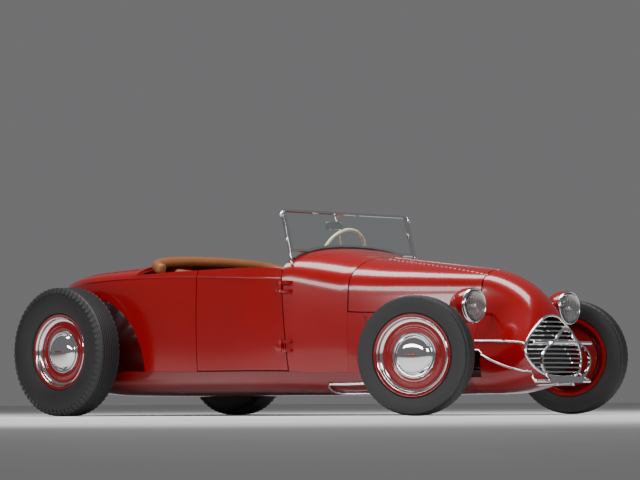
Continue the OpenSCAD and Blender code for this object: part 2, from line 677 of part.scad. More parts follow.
module engine_block() {
    color("dimgray") car() {
        translate([1980, -rail_y + rail_w + 6, rail_z + 40]) cube([430, 2 * (rail_y - rail_w) - 12, 400]);
        translate([2050, -150, rail_z + rail_h + 8]) cube([300, 300, 300]);
        for (x = [2080, 2270]) translate([x, -rail_rear_y + 60, rail_z + rail_h])
            cube([50, 2 * rail_rear_y - 120, 12]);
    }
}
module radiator() {
    color("black") car() translate([nose_x + 45, -150, rail_z + rail_h]) cube([55, 300, 290]);
}

// Front axle: dropped beam with kingpins, leaf spring above it.
king_r = 11;
eye_r = 24;
beam_z = 262;
module front_axle() {
    color("firebrick") car() translate([wheelbase, 0, 0]) {
        translate([-20, 0, 0]) rotate([90, 0, 90]) linear_extrude(40) polygon([
            [-kingpin_y + 16, tyre_front_z - 24], [-kingpin_y + 16, tyre_front_z + 24],
            [-kingpin_y + 60, tyre_front_z + 24], [-kingpin_y + 190, beam_z + 44], [kingpin_y - 190, beam_z + 44],
            [kingpin_y - 60, tyre_front_z + 24], [kingpin_y - 16, tyre_front_z + 24],
            [kingpin_y - 16, tyre_front_z - 24], [kingpin_y - 60, tyre_front_z - 24],
            [kingpin_y - 180, beam_z], [-kingpin_y + 180, beam_z], [-kingpin_y + 60, tyre_front_z - 24]]);
        both_sides() translate([0, kingpin_y, tyre_front_z]) {
            cylinder(r = eye_r, h = 48, center = true, $fn = 48);
            cylinder(r = king_r, h = 116, center = true, $fn = 32);
        }
        translate([-22, 0, 0]) rotate([90, 0, 90]) linear_extrude(44) polygon([
            [-430, beam_z + 44 - eps], [-430, beam_z + 66], [-100, 352], [100, 352], [430, beam_z + 66],
            [430, beam_z + 44 - eps], [400, beam_z + 44 - eps], [100, 330], [-100, 330],
            [-400, beam_z + 44 - eps]]);
    }
}
axle_tube_r = 38;
stud_r = 12;
stud_foot = 21;
stud_l = 15;
module rear_axle() {
    color("firebrick") car() {
        translate([0, 0, tyre_rear_z]) rotate([90, 0, 0])
            cylinder(r = axle_tube_r, h = 2 * (track_rear / 2 - 42), center = true, $fn = 48);
        translate([0, 0, tyre_rear_z]) rotate([90, 0, 0])
            cylinder(r = spindle_r, h = track_rear + 2 * stud_foot, center = true, $fn = 48);
        translate([0, 0, tyre_rear_z]) rotate([90, 0, 0])
            cylinder(r = stud_r, h = track_rear + 2 * (stud_foot + stud_l), center = true, $fn = 48);
        both_sides() translate([0, track_rear / 2 - 46, tyre_rear_z]) rotate([90, 0, 0])
            cylinder(r = 162, h = 6, $fn = 96);
        translate([0, 0, tyre_rear_z]) sphere(r = 86, $fn = 64);
        translate([-24, 0, 0]) rotate([90, 0, 90]) linear_extrude(48) polygon([
            [-380, tyre_rear_z + 30], [-380, tyre_rear_z + 56], [-100, 470], [100, 470],
            [380, tyre_rear_z + 56], [380, tyre_rear_z + 30]]);
    }
}

// Knuckle for the left side, about its kingpin; the wheel centre is at +Y.
arm_l = 140;
arm_pin_r = 8;
rod_drop = 60;
module knuckle_shape() {
    difference() {
        union() {
            for (z = [-52, 26]) translate([0, 0, z]) {
                cylinder(r = eye_r, h = 26, $fn = 48);
                translate([-eye_r, 0, 0]) cube([2 * eye_r, 43, 26]);
            }
            translate([-eye_r, 30, -52]) cube([2 * eye_r, 14, 104]);
            translate([-arm_l, -10, -52]) cube([arm_l, 20, 16]);
            translate([-arm_l, 0, -52]) cylinder(r = 14, h = 16, $fn = 32);
        }
        cylinder(r = king_r + pin_fit, h = 200, center = true, $fn = 32);
    }
    translate([-arm_l, 0, -78]) cylinder(r = arm_pin_r, h = 27, $fn = 32);
    translate([0, 43, 0]) rotate([-90, 0, 0]) cylinder(r = spindle_r, h = kingpin_in - 43 + 32, $fn = 48);
    translate([0, 43.9, 0]) rotate([-90, 0, 0]) cylinder(r = 162, h = 5, $fn = 96);
}
module at_kingpin(side) {
    car() translate([wheelbase, side * kingpin_y, tyre_front_z]) rotate([0, 0, steer_angle])
        mirror([0, side > 0 ? 0 : 1, 0]) children();
}
module knuckle_right() { color("firebrick") at_kingpin(-1) knuckle_shape(); }
module knuckle_left() { color("firebrick") at_kingpin(1) knuckle_shape(); }

module tie_rod() {
    rod_z = tyre_front_z - rod_drop - 3;
    x = wheelbase - arm_l * cos(steer_angle);
    y = -arm_l * sin(steer_angle);
    color("silver") car() difference() {
        union() {
            translate([x, y, rod_z]) rotate([90, 0, 0]) cylinder(r = 8, h = 2 * kingpin_y - 28, center = true, $fn = 32);
            for (s = [-1, 1]) translate([x, y + s * kingpin_y, rod_z - 9]) cylinder(r = 17, h = 18, $fn = 32);
        }
        translate([x, y - kingpin_y, rod_z]) cylinder(r = arm_pin_r + pin_fit, h = 60, center = true, $fn = 32);
        translate([x, y + kingpin_y, rod_z]) cylinder(r = arm_pin_r + 1, h = 60, center = true, $fn = 32);
    }
}

// Wheel about +Z, outboard side up: rim, disc, hub and brake drum.
module wheel_shape() {
    h = rim_half_w;
    rotate_extrude($fn = 96) polygon([
            [spindle_r + pin_fit, -24], [44, -24], [44, 2], [146, 2], [146, -22], [152, -22], [152, 8],
            [158, 14], [172, 8], [rim_r - 34, 8], [rim_r - 34, -18], [rim_r - 18, -30], [rim_r - 18, -h],
            [rim_r, -h], [rim_r, 5 - h], [rim_r - 13, 8 - h], [rim_r - 13, -28], [rim_r - 29, -16],
            [rim_r - 29, 16], [rim_r - 13, 28], [rim_r - 13, h - 8], [rim_r, h - 5], [rim_r, h],
            [rim_r - 4, h], [rim_r - 20, h - 9], [rim_r - 20, 32], [rim_r - 36, 22], [160, 22], [146, 30],
            [124, 24], [100, 12], [44, 12], [44, 20], [spindle_r + pin_fit, 20]]);
}
module tyre_shape(r, w) {
    h = rim_half_w - 8.3;
    side = r - rim_r;
    profile = concat([[rim_r - 13, -h], [rim_r + 3, -h - 0.4]],
        [for (k = [0:6]) let (t = k / 6) [rim_r + 8 + side * 0.8 * t,
            -h - 3 - (w / 2 - h - 3) * pow(sin(25 + 90 * t), 1)]],
        [[r - 4, -w * 0.37], [r, -w * 0.27]]);
    flip = [for (k = [len(profile) - 1:-1:0]) [profile[k][0], -profile[k][1]]];
    rotate_extrude($fn = 128) polygon(concat(profile, flip));
}
module rear_place(side) {
    car() translate([0, side * track_rear / 2, tyre_rear_z]) rotate([side > 0 ? -90 : 90, 0, 0]) children();
}
module front_place(side) {
    at_kingpin(side) translate([0, kingpin_in, 0]) rotate([-90, 0, 0]) children();
}
module wheel_front_right() { color("red") front_place(-1) wheel_shape(); }
module wheel_front_left() { color("red") front_place(1) wheel_shape(); }
module wheel_rear_right() { color("red") rear_place(-1) wheel_shape(); }
module wheel_rear_left() { color("red") rear_place(1) wheel_shape(); }
module tyre_front_right() { color("dimgray") front_place(-1) tyre_shape(tyre_front_r, tyre_front_w); }
module tyre_front_left() { color("dimgray") front_place(1) tyre_shape(tyre_front_r, tyre_front_w); }
module tyre_rear_right() { color("dimgray") rear_place(-1) tyre_shape(tyre_rear_r, tyre_rear_w); }
module tyre_rear_left() { color("dimgray") rear_place(1) tyre_shape(tyre_rear_r, tyre_rear_w); }

module side_exhausts() {
    color("silver") difference() {
        car() for (side = [-1, 1]) exhaust_tube(side);
        pan_sheet(cowl_x - 330, cowl_x + 280);
    }
}
module exhaust_tube(side) {
        tube(concat([for (x = span(2060, 1830, 5)) exhaust_point(x, 3.2, side)],
            [for (v = [3.28, 3.4, 3.48]) exhaust_point(1815, v, side)],
            [for (x = span(1830, 2060, 5)) exhaust_point(x, 3.56, side)]), 7, up = [0, 0, 1]);
}
function exhaust_point(x, v, side) =
    let (p = skin(x, v) - 9.5 * inward(x, v, false)) [p[0], side * p[1], p[2]];

module tail_lamps() {
    color("red") car() for (side = [-1, 1]) {
        p = skin(-330, 1.4);
        n = -inward(-330, 1.4, false);
        mirror([0, side < 0 ? 1 : 0, 0]) translate(p - 0.7 * n) rotate([0, acos(n[2]), atan2(n[1], n[0])]) {
            cylinder(r = 9, h = 16, $fn = 32);
            translate([0, 0, 12]) cylinder(r = 38, h = 26, $fn = 48);
        }
    }
}

// Steering column and hand wheel share one slanting axis.
hand_x = 1262;
hand_y = 292;
hand_z = 896;
column_slope = 20;
column_r = 19;
column_l = 640;
module on_column() {
    car() translate([hand_x, hand_y, hand_z]) rotate([0, 90 + column_slope, 0]) children();
}
module steering_column() {
    color("silver") on_column() {
        translate([0, 0, 34]) cylinder(r = column_r, h = column_l, $fn = 48);
        translate([0, 0, -8]) cylinder(r = 9, h = 60, $fn = 32);
    }
}
module steering_wheel() {
    color("ivory") on_column() {
        rotate_extrude($fn = 96) translate([wheel_hand_r - 10, 0]) circle(r = 10, $fn = 32);
        difference() {
            union() {
                cylinder(r = 30, h = 33, $fn = 48);
                for (a = [90, 210, 330]) rotate([0, 0, a]) translate([20, -9, 2]) cube([wheel_hand_r - 34, 18, 6]);
            }
            translate([0, 0, -20]) cylinder(r = 9 + pin_fit, h = 80, $fn = 32);
        }
    }
}

frame_rails();
belly_pan();
cowl();
hood_side_right();
hood_side_left();
hood_hinge();
nose_shell();
grille();
bumper_loop();
tail_cap();
quarter_right();
quarter_left();
deck_surround();
deck_hinge();
wheel_housings();
door_hinges();
cabin_floor();
seat_cushion();
seat_back();
padded_roll();
dashboard();
windshield_frame();
windshield_glass();
windshield_posts();
mirror_plate();
headlight_right();
headlight_left();
engine_block();
radiator();
front_axle();
rear_axle();
side_exhausts();
tail_lamps();
steering_column();
steering_wheel();
door_right();
door_left();
hood_right();
hood_left();
deck_lid();
knuckle_right();
knuckle_left();
tie_rod();
wheel_front_right();
wheel_front_left();
wheel_rear_right();
wheel_rear_left();
tyre_front_right();
tyre_front_left();
tyre_rear_right();
tyre_rear_left();
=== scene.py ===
import json
import math

import bmesh
import bpy
from mathutils import Matrix, Vector
from mathutils.bvhtree import BVHTree

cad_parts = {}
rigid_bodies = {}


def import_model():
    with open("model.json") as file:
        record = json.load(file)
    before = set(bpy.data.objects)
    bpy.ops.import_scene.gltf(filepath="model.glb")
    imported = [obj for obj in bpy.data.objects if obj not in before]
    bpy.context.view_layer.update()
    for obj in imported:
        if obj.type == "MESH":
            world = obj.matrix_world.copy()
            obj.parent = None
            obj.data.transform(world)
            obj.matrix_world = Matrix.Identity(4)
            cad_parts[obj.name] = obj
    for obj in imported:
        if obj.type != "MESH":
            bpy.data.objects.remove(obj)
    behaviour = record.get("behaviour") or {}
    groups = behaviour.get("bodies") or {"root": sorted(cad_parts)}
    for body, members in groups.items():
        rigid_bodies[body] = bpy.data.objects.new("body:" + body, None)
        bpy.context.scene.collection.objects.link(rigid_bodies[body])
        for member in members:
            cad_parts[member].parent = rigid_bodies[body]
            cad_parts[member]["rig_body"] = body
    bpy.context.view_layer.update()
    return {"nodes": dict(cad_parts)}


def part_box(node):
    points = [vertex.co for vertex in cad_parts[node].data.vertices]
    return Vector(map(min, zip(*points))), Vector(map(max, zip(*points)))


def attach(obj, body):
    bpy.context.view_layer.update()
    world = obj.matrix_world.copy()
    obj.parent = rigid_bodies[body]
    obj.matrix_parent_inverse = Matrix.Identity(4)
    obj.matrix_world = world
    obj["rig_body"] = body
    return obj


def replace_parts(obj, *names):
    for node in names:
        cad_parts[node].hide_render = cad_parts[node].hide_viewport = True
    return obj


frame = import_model()
nodes = frame["nodes"]
sides = {"right": -1, "left": 1}
print("frame loaded:", len(nodes), "nodes")

carMid = 1.3135  # from the rear axle to the middle of the car


# millimetres from the rear axle's foot, to metres in the frame
def place(x, y, z):
    return Vector((x / 1000 - carMid, y / 1000, z / 1000))


# materials
def makeGrainGroup():
    group = bpy.data.node_groups.new("surfaceGrain", "ShaderNodeTree")
    face = group.interface
    face.new_socket("Size", in_out="INPUT", socket_type="NodeSocketFloat").default_value = 40
    face.new_socket("Roughness Low", in_out="INPUT", socket_type="NodeSocketFloat").default_value = 0.2
    face.new_socket("Roughness High", in_out="INPUT", socket_type="NodeSocketFloat").default_value = 0.4
    face.new_socket("Roughness", in_out="OUTPUT", socket_type="NodeSocketFloat")
    face.new_socket("Height", in_out="OUTPUT", socket_type="NodeSocketFloat")
    face.new_socket("Mask", in_out="OUTPUT", socket_type="NodeSocketFloat")
    n, link = group.nodes, group.links.new
    into, out = n.new("NodeGroupInput"), n.new("NodeGroupOutput")
    coords = n.new("ShaderNodeTexCoord")
    fine = n.new("ShaderNodeTexNoise")
    fine.inputs["Detail"].default_value = 6
    broad = n.new("ShaderNodeTexNoise")
    broad.inputs["Scale"].default_value = 5
    broad.inputs["Detail"].default_value = 3
    spread = n.new("ShaderNodeMapRange")
    link(coords.outputs["Object"], fine.inputs["Vector"])
    link(coords.outputs["Object"], broad.inputs["Vector"])
    link(into.outputs["Size"], fine.inputs["Scale"])
    link(broad.outputs["Fac"], spread.inputs["Value"])
    link(into.outputs["Roughness Low"], spread.inputs["To Min"])
    link(into.outputs["Roughness High"], spread.inputs["To Max"])
    link(spread.outputs["Result"], out.inputs["Roughness"])
    link(fine.outputs["Fac"], out.inputs["Height"])
    link(broad.outputs["Fac"], out.inputs["Mask"])
    return group


grain = makeGrainGroup()


# two close colours, uneven gloss and a fine relief
def finish(name, low, high, size, rough, bump, metallic=0.0, coat=0.0, grainKind="noise"):
    material = bpy.data.materials.new(name)
    material.use_nodes = True
    n, link = material.node_tree.nodes, material.node_tree.links.new
    shader = n["Principled BSDF"]
    shader.inputs["Metallic"].default_value = metallic
    shader.inputs["Coat Weight"].default_value = coat
    shader.inputs["Coat Roughness"].default_value = 0.03
    pattern = n.new("ShaderNodeGroup")
    pattern.node_tree = grain
    pattern.inputs["Size"].default_value = size
    pattern.inputs["Roughness Low"].default_value = rough[0]
    pattern.inputs["Roughness High"].default_value = rough[1]
    colours = n.new("ShaderNodeMix")
    colours.data_type = "RGBA"
    colours.inputs["A"].default_value = (*low, 1)
    colours.inputs["B"].default_value = (*high, 1)
    link(pattern.outputs["Mask"], colours.inputs["Factor"])
    link(colours.outputs["Result"], shader.inputs["Base Color"])
    link(pattern.outputs["Roughness"], shader.inputs["Roughness"])
    relief = n.new("ShaderNodeBump")
    relief.inputs["Distance"].default_value = bump
    relief.inputs["Strength"].default_value = 0.6
    if grainKind == "leather":
        cells = n.new("ShaderNodeTexVoronoi")
        cells.feature = "DISTANCE_TO_EDGE"
        cells.inputs["Scale"].default_value = size
        coords = n.new("ShaderNodeTexCoord")
        link(coords.outputs["Object"], cells.inputs["Vector"])
        link(cells.outputs["Distance"], relief.inputs["Height"])
    else:
        link(pattern.outputs["Height"], relief.inputs["Height"])
    link(relief.outputs["Normal"], shader.inputs["Normal"])
    return material


redPaint = finish("redEnamel", (0.25, 0.0, 0.0016), (0.29, 0.0, 0.0022), 900, (0.2, 0.24), 0.000002,
                  coat=0.6)
wheelRed = finish("wheelEnamel", (0.2, 0.0, 0.0012), (0.24, 0.0, 0.0018), 900, (0.2, 0.26), 0.000002,
                  coat=0.5)
chassisRed = finish("chassisEnamel", (0.14, 0.0002, 0.001), (0.18, 0.0004, 0.0012), 500, (0.3, 0.38), 0.00002,
                    coat=0.6)
chrome = finish("chromePlate", (0.78, 0.79, 0.81), (0.86, 0.86, 0.87), 300, (0.03, 0.08), 0.000004,
                metallic=1)
brushed = finish("polishedAlloy", (0.55, 0.55, 0.56), (0.66, 0.66, 0.66), 300, (0.18, 0.3), 0.00002,
                 metallic=1)
rubber = finish("tyreRubber", (0.012, 0.012, 0.013), (0.02, 0.02, 0.021), 700, (0.5, 0.66), 0.0002)
trimRubber = finish("trimRubber", (0.01, 0.01, 0.01), (0.016, 0.016, 0.016), 600, (0.45, 0.6), 0.0001)
leather = finish("tanLeather", (0.2, 0.065, 0.022), (0.27, 0.095, 0.034), 420, (0.36, 0.48), 0.0004,
                 grainKind="leather")
carpet = finish("loopCarpet", (0.05, 0.018, 0.01), (0.09, 0.03, 0.018), 900, (0.9, 1.0), 0.002)
satinBlack = finish("satinBlack", (0.008, 0.008, 0.008), (0.014, 0.014, 0.014), 500, (0.4, 0.55), 0.00005)
castGrey = finish("castIron", (0.09, 0.09, 0.09), (0.14, 0.14, 0.14), 260, (0.5, 0.65), 0.0003)
ivory = finish("ivoryGrip", (0.72, 0.64, 0.46), (0.8, 0.72, 0.55), 200, (0.2, 0.3), 0.00005, coat=0.5)
lampRed = finish("redLens", (0.35, 0.001, 0.001), (0.42, 0.002, 0.002), 200, (0.08, 0.12), 0.0002, coat=1.0)


def clearGlass(name, tint, bumpSize, bump):
    material = bpy.data.materials.new(name)
    material.use_nodes = True
    n, link = material.node_tree.nodes, material.node_tree.links.new
    shader = n["Principled BSDF"]
    shader.inputs["Base Color"].default_value = (*tint, 1)
    shader.inputs["Transmission Weight"].default_value = 1
    shader.inputs["Roughness"].default_value = 0.01
    shader.inputs["IOR"].default_value = 1.45
    flutes = n.new("ShaderNodeTexWave")
    flutes.bands_direction = "Y"
    flutes.inputs["Scale"].default_value = bumpSize
    coords = n.new("ShaderNodeTexCoord")
    relief = n.new("ShaderNodeBump")
    relief.inputs["Distance"].default_value = bump
    link(coords.outputs["Object"], flutes.inputs["Vector"])
    link(flutes.outputs["Fac"], relief.inputs["Height"])
    link(relief.outputs["Normal"], shader.inputs["Normal"])
    return material


screenGlass = clearGlass("screenGlass", (0.93, 0.97, 0.96), 3, 0.00002)
lensGlass = clearGlass("lensGlass", (0.98, 0.98, 0.96), 26, 0.0012)


# makes a smooth-shaded piece that rides on a body
def addPiece(name, bm, material, body, angle=35):
    mesh = bpy.data.meshes.new(name)
    bm.to_mesh(mesh)
    bm.free()
    mesh.materials.append(material)
    mesh.shade_smooth()
    mesh.set_sharp_from_angle(angle=math.radians(angle))
    piece = bpy.data.objects.new(name, mesh)
    bpy.context.scene.collection.objects.link(piece)
    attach(piece, body)
    return piece


# points (radius, height) turned about Z
def spun(profile, steps=96):
    bm = bmesh.new()
    ring = [bm.verts.new((r, 0, z)) for r, z in profile]
    edges = [bm.edges.new(pair) for pair in zip(ring, ring[1:])]
    bmesh.ops.spin(bm, geom=ring + edges, cent=(0, 0, 0), axis=(0, 0, 1), angle=2 * math.pi,
                   steps=steps, use_merge=True)
    bmesh.ops.remove_doubles(bm, verts=bm.verts, dist=0.00002)
    bmesh.ops.recalc_face_normals(bm, faces=bm.faces)
    return bm


# the CAD node's own shape, merged and shaded smooth
def smoothCopy(node, material, angle=28):
    bm = bmesh.new()
    bm.from_mesh(nodes[node].data)
    bmesh.ops.remove_doubles(bm, verts=bm.verts, dist=0.00003)
    piece = addPiece(node + "_skin", bm, material, nodes[node]["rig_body"], angle)
    even = piece.modifiers.new("even", "WEIGHTED_NORMAL")
    even.keep_sharp = True
    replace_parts(piece, node)
    return piece


def surfaceOf(*names):
    bm = bmesh.new()
    for name in names:
        bm.from_mesh(nodes[name].data)
    bmesh.ops.triangulate(bm, faces=bm.faces)
    tree = BVHTree.FromBMesh(bm)
    bm.free()
    return tree


# a slim raised strip through points, with a round section
def bead(name, points, radius, material, body):
    curve = bpy.data.curves.new(name, "CURVE")
    curve.dimensions = "3D"
    curve.bevel_depth = radius
    curve.bevel_resolution = 3
    curve.use_fill_caps = True
    spline = curve.splines.new("POLY")
    spline.points.add(len(points) - 1)
    for spot, p in zip(spline.points, points):
        spot.co = (*p, 1)
    curve.materials.append(material)
    piece = bpy.data.objects.new(name, curve)
    bpy.context.scene.collection.objects.link(piece)
    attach(piece, body)
    return piece


# body panels
panels = {
    "redPanels": ["cowl", "hood_side_right", "hood_side_left", "nose_shell", "tail_cap", "quarter_right",
                  "quarter_left", "deck_surround", "door_right", "door_left", "hood_right", "hood_left",
                  "deck_lid", "headlight_right", "headlight_left", "hood_hinge", "deck_hinge", "door_hinges",
                  "dashboard"],
    "chassisPanels": ["belly_pan", "wheel_housings", "frame_rails", "front_axle", "rear_axle",
                      "knuckle_right", "knuckle_left"],
    "chromeParts": ["grille", "bumper_loop", "windshield_frame", "windshield_posts", "tie_rod", "steering_column",
                    "side_exhausts"],
}
for node in panels["redPanels"]:
    smoothCopy(node, redPaint)
for node in panels["chassisPanels"]:
    smoothCopy(node, chassisRed)
for node in panels["chromeParts"]:
    smoothCopy(node, chrome, 40)
smoothCopy("mirror_plate", chrome)
smoothCopy("windshield_glass", screenGlass)
smoothCopy("cabin_floor", carpet)
smoothCopy("radiator", satinBlack)
smoothCopy("engine_block", castGrey)
smoothCopy("tail_lamps", redPaint)
smoothCopy("steering_wheel", ivory, 40)
print("panels finished")

# wheels and tyres
wheelLook = {
    "steer": 18.67,
    "trimRing": [(0.2045, 0.0535), (0.2025, 0.0555), (0.1985, 0.0525), (0.1965, 0.044), (0.1955, 0.034),
                 (0.190, 0.0275), (0.1835, 0.0245), (0.1800, 0.0232), (0.1800, 0.0222)],
    "hubcap": [(0.1235, 0.0235), (0.1240, 0.0270), (0.1205, 0.0310), (0.1130, 0.0320), (0.1075, 0.0300),
               (0.1040, 0.0330), (0.0980, 0.0430), (0.0880, 0.0520), (0.0740, 0.0590), (0.0560, 0.0635),
               (0.0350, 0.0665), (0.0150, 0.0678), (0.0, 0.0680)],
}


def wheelFrame(end, side):
    low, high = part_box("tyre_" + end + "_" + side)
    centre = (Vector(low) + Vector(high)) / 2
    turn = math.radians(wheelLook["steer"]) if end == "front" else 0
    out = Matrix.Rotation(turn, 3, "Z") @ Vector((0, sides[side], 0))
    ahead = Matrix.Rotation(turn, 3, "Z") @ Vector((1, 0, 0))
    up = out.cross(ahead)
    basis = Matrix((ahead, up, out)).transposed().to_4x4()
    return Matrix.Translation(centre) @ basis


# half the width across the tyre's own axis
def tyreWidth(end, side):
    tyre = nodes["tyre_" + end + "_" + side].data
    frameIn = wheelFrame(end, side).inverted()
    return max(abs((frameIn @ v.co).z) for v in tyre.vertices)


def tyreRadius(end, side):
    low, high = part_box("tyre_" + end + "_" + side)
    return (high[2] - low[2]) / 2


tyreLook = {"rim": 0.220, "groove": 0.0065}


# side walls and a grooved crown, as points for a spin
def carcass(radius, half, crown, ribs):
    side = radius - tyreLook["rim"]
    wall = [(tyreLook["rim"] - 0.013, 0.0487), (tyreLook["rim"] + 0.0025, 0.0492)]
    for k in range(13):
        t = k / 12
        w = math.radians(25 + 90 * t)
        bulge = 0.0517 + (half - 0.0517) * math.sin(w)
        wall.append((tyreLook["rim"] + 0.008 + side * 0.8 * t, bulge - 0.0004))
    wall += [(radius - 0.010, crown * 1.17), (radius - 0.0035, crown * 1.08)]
    pitch = 2 * crown / ribs
    tread = [(radius - 0.0015, crown)]
    for k in range(ribs - 1):
        middle = crown - (k + 1) * pitch
        sag = 0.0015 * (middle / crown) ** 2
        tread += [(radius - sag, middle + 0.0028), (radius - sag - tyreLook["groove"], middle + 0.0016),
                  (radius - sag - tyreLook["groove"], middle - 0.0016), (radius - sag, middle - 0.0028)]
    tread.append((radius - 0.0015, -crown))
    mirrored = [(r, -z) for r, z in reversed(wall)]
    inner = [(0.2062, -0.0487), (0.2062, 0.0487)]
    return wall + tread + mirrored + inner


treadLook = {
    "front": {"crown": 0.30, "ribs": 6, "lugs": 60, "lugSize": (0.026, 0.012, 0.0075)},
    "rear": {"crown": 0.36, "ribs": 9, "lugs": 66, "lugSize": (0.036, 0.017, 0.0095)},
}


# shoulder lugs round both edges of the tread
def addLugs(bm, radius, half, look):
    count, (deep, long, tall) = look["lugs"], look["lugSize"]
    crown = half * 2 * look["crown"]
    lean = math.radians(52)
    reach = tall * math.cos(lean) + deep / 2 * math.sin(lean)
    for s in (-1, 1):
        for k in range(count):
            turn = Matrix.Rotation(2 * math.pi * (k + 0.25 * (s + 1)) / count, 4, "Z")
            lay = turn @ Matrix.Translation((radius - 0.0015 - reach, 0, s * crown * 1.17)) @ \
                Matrix.Rotation(-s * lean, 4, "Y")
            bmesh.ops.create_cube(bm, size=1, matrix=lay @ Matrix.Diagonal((tall * 2, long, deep, 1)))


for end in ("front", "rear"):
    for side in sides:
        wheel = "wheel_" + end + "_" + side
        stand = wheelFrame(end, side)
        body = nodes[wheel]["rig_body"]
        radius, half = tyreRadius(end, side), tyreWidth(end, side)
        look = treadLook[end]
        tyre = spun(carcass(radius, half, half * 2 * look["crown"], look["ribs"]), 128)
        addLugs(tyre, radius, half, look)
        tyre.transform(stand)
        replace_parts(addPiece("tyre_" + end + "_" + side + "_rubber", tyre, rubber, body, 32),
                    "tyre_" + end + "_" + side)
        smoothCopy(wheel, wheelRed, 32)
        ring = spun(wheelLook["trimRing"], 128)
        bmesh.ops.transform(ring, matrix=stand, verts=ring.verts)
        addPiece("trim_ring_" + end + "_" + side, ring, chrome, body, 50)
        cap = spun(wheelLook["hubcap"], 96)
        bmesh.ops.transform(cap, matrix=stand, verts=cap.verts)
        addPiece("hubcap_" + end + "_" + side, cap, chrome, body, 40)
        stripe = bmesh.new()
        bmesh.ops.create_cube(stripe, size=1, matrix=Matrix.Translation((0, 0, 0.0675)) @
                              Matrix.Diagonal((0.052, 0.010, 0.002, 1)))
        bmesh.ops.bevel(stripe, geom=stripe.edges, offset=0.0008, affect="EDGES", segments=2, profile=0.5,
                        material=-1)
        bmesh.ops.transform(stripe, matrix=stand, verts=stripe.verts)
        addPiece("hub_stripe_" + end + "_" + side, stripe, wheelRed, body)
print("wheels finished")

# hood louvres
louvreLook = {"first": 1994, "last": 2695, "count": 23, "fromCentre": 112, "length": 0.028, "width": 0.015,
              "height": 0.0045, "slot": 0.0028}


# a row of pressed louvres on each half of the hood, open towards the rear; the openings are not cut, and a thin
# satin-black sheet at each lip is painted shade
def addLouvres():
    for side, s in sides.items():
        tree = surfaceOf("hood_" + side)
        row, louvreShades = bmesh.new(), bmesh.new()
        for k in range(louvreLook["count"]):
            x = louvreLook["first"] + (louvreLook["last"] - 12 - louvreLook["first"]) * k / (louvreLook["count"] - 1)
            start = place(x, s * louvreLook["fromCentre"], 1200)
            spot, normal, _, _ = tree.ray_cast(start, Vector((0, 0, -1)))
            if spot is None:
                continue
            ahead = (Vector((1, 0, 0)) - normal * normal.x).normalized()
            across = normal.cross(ahead)
            stand = Matrix.Translation(spot) @ Matrix((ahead, across, normal)).transposed().to_4x4()
            made = bmesh.ops.create_uvsphere(row, u_segments=12, v_segments=8, radius=1)
            for v in made["verts"]:
                v.co.z = max(v.co.z, -0.12)
                if v.co.x < -0.15:
                    v.co.x = -0.15
            bmesh.ops.transform(row, matrix=stand @ Matrix.Diagonal((louvreLook["width"], louvreLook["length"] / 2,
                                louvreLook["height"], 1)), verts=made["verts"])
            # painted shade: a thin satin-black sheet at the rear lip stands for the dark opening
            lip = Matrix.Translation((-0.0033, 0, 0.0021))
            bmesh.ops.create_cube(louvreShades, size=1, matrix=stand @ lip @ Matrix.Diagonal(
                (0.0012, louvreLook["length"] * 0.82, louvreLook["slot"], 1)))
        addPiece("hood_louvres_" + side, row, redPaint, "hood_" + side, 40)
        addPiece("louvre_slot_shade_" + side, louvreShades, satinBlack, "hood_" + side, 30)


addLouvres()

# mouldings and chrome strips
stripLook = {
    "belt": [(1618, 762), (1500, 768), (1300, 778), (1120, 786), (948, 794)],
    "quarterBelt": [(944, 794), (800, 797), (600, 798), (420, 797), (250, 794), (60, 786), (-100, 777),
                    (-250, 764), (-370, 744), (-450, 716)],
    "beltRadius": 0.0048,
    "upper": [(2700, 260, 414), (2760, 262, 413), (2860, 262, 410), (2960, 256, 402), (3050, 240, 391)],
    "lower": [(2706, 262, 352), (2760, 262, 330), (2830, 264, 298), (2900, 263, 270), (2960, 258, 250),
              (3030, 246, 226), (3090, 232, 206)],
    "stripRadius": 0.0058,
}


# extra places between points, on one flowing line
def smoothLine(points, steps=8):
    out = []
    for k in range(len(points) - 1):
        a, b = points[max(0, k - 1)], points[k]
        c, d = points[k + 1], points[min(len(points) - 1, k + 2)]
        for j in range(steps):
            t = j / steps
            out.append(0.5 * ((2 * b) + (c - a) * t + (2 * a - 5 * b + 4 * c - d) * t * t
                              + (3 * b - a - 3 * c + d) * t ** 3))
    return out + [points[-1]]


def onSkin(tree, guesses, lift):
    found = []
    for guess in guesses:
        spot, normal, _, _ = tree.find_nearest(guess)
        found.append(spot + normal * lift)
    return found


# the skin's point at station x and height z, square from one side
def fromSide(tree, s, x, z):
    start = place(x, s * 900, z)
    spot, _, _, _ = tree.ray_cast(start, Vector((0, -s, 0)))
    return spot


def addMouldings():
    for side, s in sides.items():
        door, quarter, nose = surfaceOf("door_" + side), surfaceOf("quarter_" + side), surfaceOf("nose_shell")
        for name, tree, key, body in (("door", door, "belt", "door_" + side),
                                      ("quarter", quarter, "quarterBelt", "root")):
            line = smoothLine([place(x, s * 590, z) for x, z in stripLook[key]])
            spots = [fromSide(tree, s, (q.x + carMid) * 1000, q.z * 1000) for q in line]
            spots = [q for q in spots if q is not None]
            bead("belt_moulding_" + name + "_" + side, spots, stripLook["beltRadius"], redPaint, body)
        for key in ("upper", "lower"):
            line = smoothLine([place(x, s * y, z) for x, y, z in stripLook[key]])
            spots = onSkin(nose, line, 0.002)
            if key == "lower":
                spots += smoothLine([spots[-1], place(3104, s * 232, 190), place(3122, s * 226, 181)], 4)[1:]
            bead("nose_strip_" + key + "_" + side, spots, stripLook["stripRadius"], chrome, "root")


addMouldings()
print("louvres and mouldings finished")

# headlights
lampLook = {"x": 2846, "y": 408.5, "z": 587, "lens": 0.0865, "dome": 0.017}


